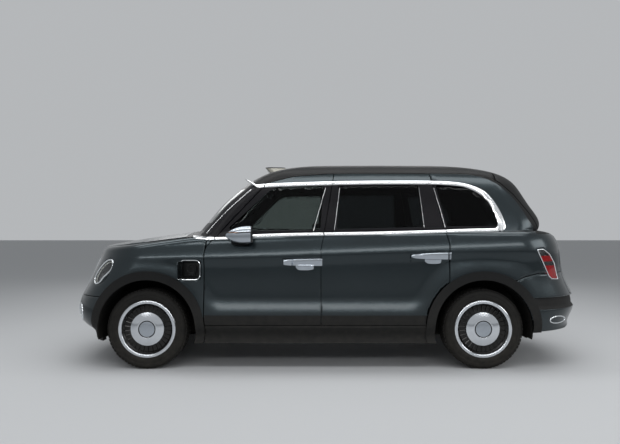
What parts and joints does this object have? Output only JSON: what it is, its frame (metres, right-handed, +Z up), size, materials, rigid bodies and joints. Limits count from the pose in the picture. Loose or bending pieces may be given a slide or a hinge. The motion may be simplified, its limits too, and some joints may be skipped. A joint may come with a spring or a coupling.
{
  "type": "taxi cab",
  "caption": "Purpose-built black taxi cab: tall roof, side doors, tailgate, bonnet, open charging flap, steered front wheels, hollow cabin with partition.",
  "frame": {"origin": "on the road under the body's middle, half way between the bumper ends", "axes": "-X towards the nose, -Y towards the cab's left side, +Z up"},
  "size_m": [4.8638, 2.109, 1.888],
  "materials": {
    "paint": "dark satin paint with a fine metallic grain",
    "roof_paint": "black satin paint",
    "glass": "dark tinted glass",
    "chrome": "bright satin plating",
    "black_plastic": "grained dark plastic",
    "lamp_lens": "clear moulded lens",
    "red_lens": "red moulded lens",
    "sign_lens": "plain pale lens",
    "tyre": "matte rubber",
    "alloy": "polished and gloss dark alloy",
    "steel": "plain dark steel",
    "iron": "dull cast metal",
    "trim": "soft dark cabin plastic",
    "upholstery": "dark seat leather"
  },
  "bodies": {
    "shell": {"arch_trims": "black_plastic", "battery_pack": "steel", "charge_port": "black_plastic", "cowl": "roof_paint", "dashboard": "trim", "driver_seat": "upholstery", "engine_block": "iron", "floor_pan": "steel", "front_bumper": "black_plastic", "front_lamps": "lamp_lens", "front_panel": "paint", "front_rails": "steel", "front_suspension": "steel", "grille": "chrome", "partition": "trim", "quarter_glass": "glass", "rear_axle": "steel", "rear_bench": "upholstery", "rear_bumper": "black_plastic", "roof_panel": "roof_paint", "roof_sign": "sign_lens", "side_frame_left": "paint", "side_frame_right": "paint", "steering_wheel": "trim", "tail_lamps": "red_lens", "wheel_arch_liners": "black_plastic", "windscreen": "glass", "wing_left": "paint", "wing_right": "paint"},
    "front_left_door": {"door_front_left": "paint", "door_glass_front_left": "glass", "mirror_left": "chrome"},
    "front_right_door": {"door_front_right": "paint", "door_glass_front_right": "glass", "mirror_right": "chrome"},
    "rear_left_door": {"door_rear_left": "paint", "door_glass_rear_left": "glass"},
    "rear_right_door": {"door_rear_right": "paint", "door_glass_rear_right": "glass"},
    "bonnet_lid": {"bonnet": "paint"},
    "tailgate_lid": {"tailgate": "roof_paint", "rear_glass": "glass"},
    "charge_flap_lid": {"charge_flap": "paint"},
    "left_knuckle": {"knuckle_left": "steel"},
    "right_knuckle": {"knuckle_right": "steel"},
    "front_left_wheel": {"tyre_front_left": "tyre", "rim_front_left": "alloy"},
    "front_right_wheel": {"tyre_front_right": "tyre", "rim_front_right": "alloy"},
    "rear_left_wheel": {"tyre_rear_left": "tyre", "rim_rear_left": "alloy"},
    "rear_right_wheel": {"tyre_rear_right": "tyre", "rim_rear_right": "alloy"}
  },
  "joints": [
    {"name": "front_left_door_hinge", "type": "hinge", "parent": "shell", "child": "front_left_door", "pos_m": [-1.0535, -0.919, 0.6], "axis": [0, 0, -1], "range_deg": [0, 65]},
    {"name": "front_right_door_hinge", "type": "hinge", "parent": "shell", "child": "front_right_door", "pos_m": [-1.0535, 0.919, 0.6], "axis": [0, 0, 1], "range_deg": [0, 65]},
    {"name": "rear_left_door_hinge", "type": "hinge", "parent": "shell", "child": "rear_left_door", "pos_m": [-0.0195, -0.9255, 0.6], "axis": [0, 0, -1], "range_deg": [0, 75]},
    {"name": "rear_right_door_hinge", "type": "hinge", "parent": "shell", "child": "rear_right_door", "pos_m": [-0.0195, 0.9255, 0.6], "axis": [0, 0, 1], "range_deg": [0, 75]},
    {"name": "bonnet_hinge", "type": "hinge", "parent": "shell", "child": "bonnet_lid", "pos_m": [-1.18, 0, 1.192], "axis": [0, 1, 0], "range_deg": [0, 50]},
    {"name": "tailgate_hinge", "type": "hinge", "parent": "shell", "child": "tailgate_lid", "pos_m": [1.48, 0, 1.757], "axis": [0, -1, 0], "range_deg": [0, 80]},
    {"name": "charge_flap_hinge", "type": "hinge", "parent": "shell", "child": "charge_flap_lid", "pos_m": [-1.283, -0.934, 0.884], "axis": [0, 0, 1], "range_deg": [0, 90]},
    {"name": "left_steering", "type": "hinge", "parent": "shell", "child": "left_knuckle", "pos_m": [-1.5925, -0.735, 0.355], "axis": [0, 0, 1], "range_deg": [-40, 40]},
    {"name": "right_steering", "type": "hinge", "parent": "shell", "child": "right_knuckle", "pos_m": [-1.5925, 0.735, 0.355], "axis": [0, 0, 1], "range_deg": [-40, 40]},
    {"name": "front_left_wheel_spin", "type": "hinge", "parent": "left_knuckle", "child": "front_left_wheel", "pos_m": [-1.5925, -0.79, 0.355], "axis": [0, 1, 0], "continuous": true},
    {"name": "front_right_wheel_spin", "type": "hinge", "parent": "right_knuckle", "child": "front_right_wheel", "pos_m": [-1.5925, 0.79, 0.355], "axis": [0, 1, 0], "continuous": true},
    {"name": "rear_left_wheel_spin", "type": "hinge", "parent": "shell", "child": "rear_left_wheel", "pos_m": [1.3935, -0.79, 0.355], "axis": [0, 1, 0], "continuous": true},
    {"name": "rear_right_wheel_spin", "type": "hinge", "parent": "shell", "child": "rear_right_wheel", "pos_m": [1.3935, 0.79, 0.355], "axis": [0, 1, 0], "continuous": true}
  ],
  "couplings": [
    {"joint": "right_steering", "follows": "left_steering", "ratio": 1}
  ]
}
